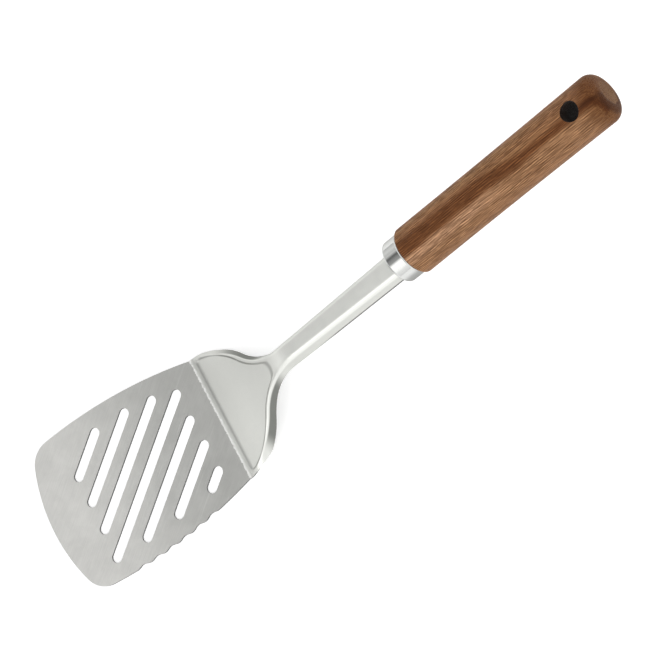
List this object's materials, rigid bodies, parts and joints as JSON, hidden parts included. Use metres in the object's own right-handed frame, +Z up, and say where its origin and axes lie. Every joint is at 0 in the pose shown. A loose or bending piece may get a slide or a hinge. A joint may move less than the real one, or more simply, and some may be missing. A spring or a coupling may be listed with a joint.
{
  "type": "slotted turner",
  "caption": "Slotted steel turner with one serrated edge, a raised shoulder, a channel-shaped shaft, a polished ferrule and a turned wooden handle with a hanging hole.",
  "frame": {"origin": "under the middle of the tool's length and width, on the surface that the blade's underside lies on", "axes": "+X from the blade to the handle's butt, +Y away from the serrated edge, +Z up from the blade's underside"},
  "size_m": [0.3636, 0.0842, 0.0941],
  "materials": {
    "brushed_sheet": "brushed along the slots on the blade, satin on the shoulder, polished edges",
    "rod_steel": "drawn rod, dull",
    "weld_steel": "rippled weld bead",
    "polished_ferrule": "mirror polished",
    "walnut": "oiled, satin, with open pores",
    "adhesive": "cured resin"
  },
  "bodies": {
    "root": {"blade_and_shaft": "brushed_sheet", "tang_rod": "rod_steel", "tang_welds": "weld_steel", "ferrule": "polished_ferrule", "handle": "walnut", "handle_adhesive": "adhesive"}
  },
  "joints": []
}
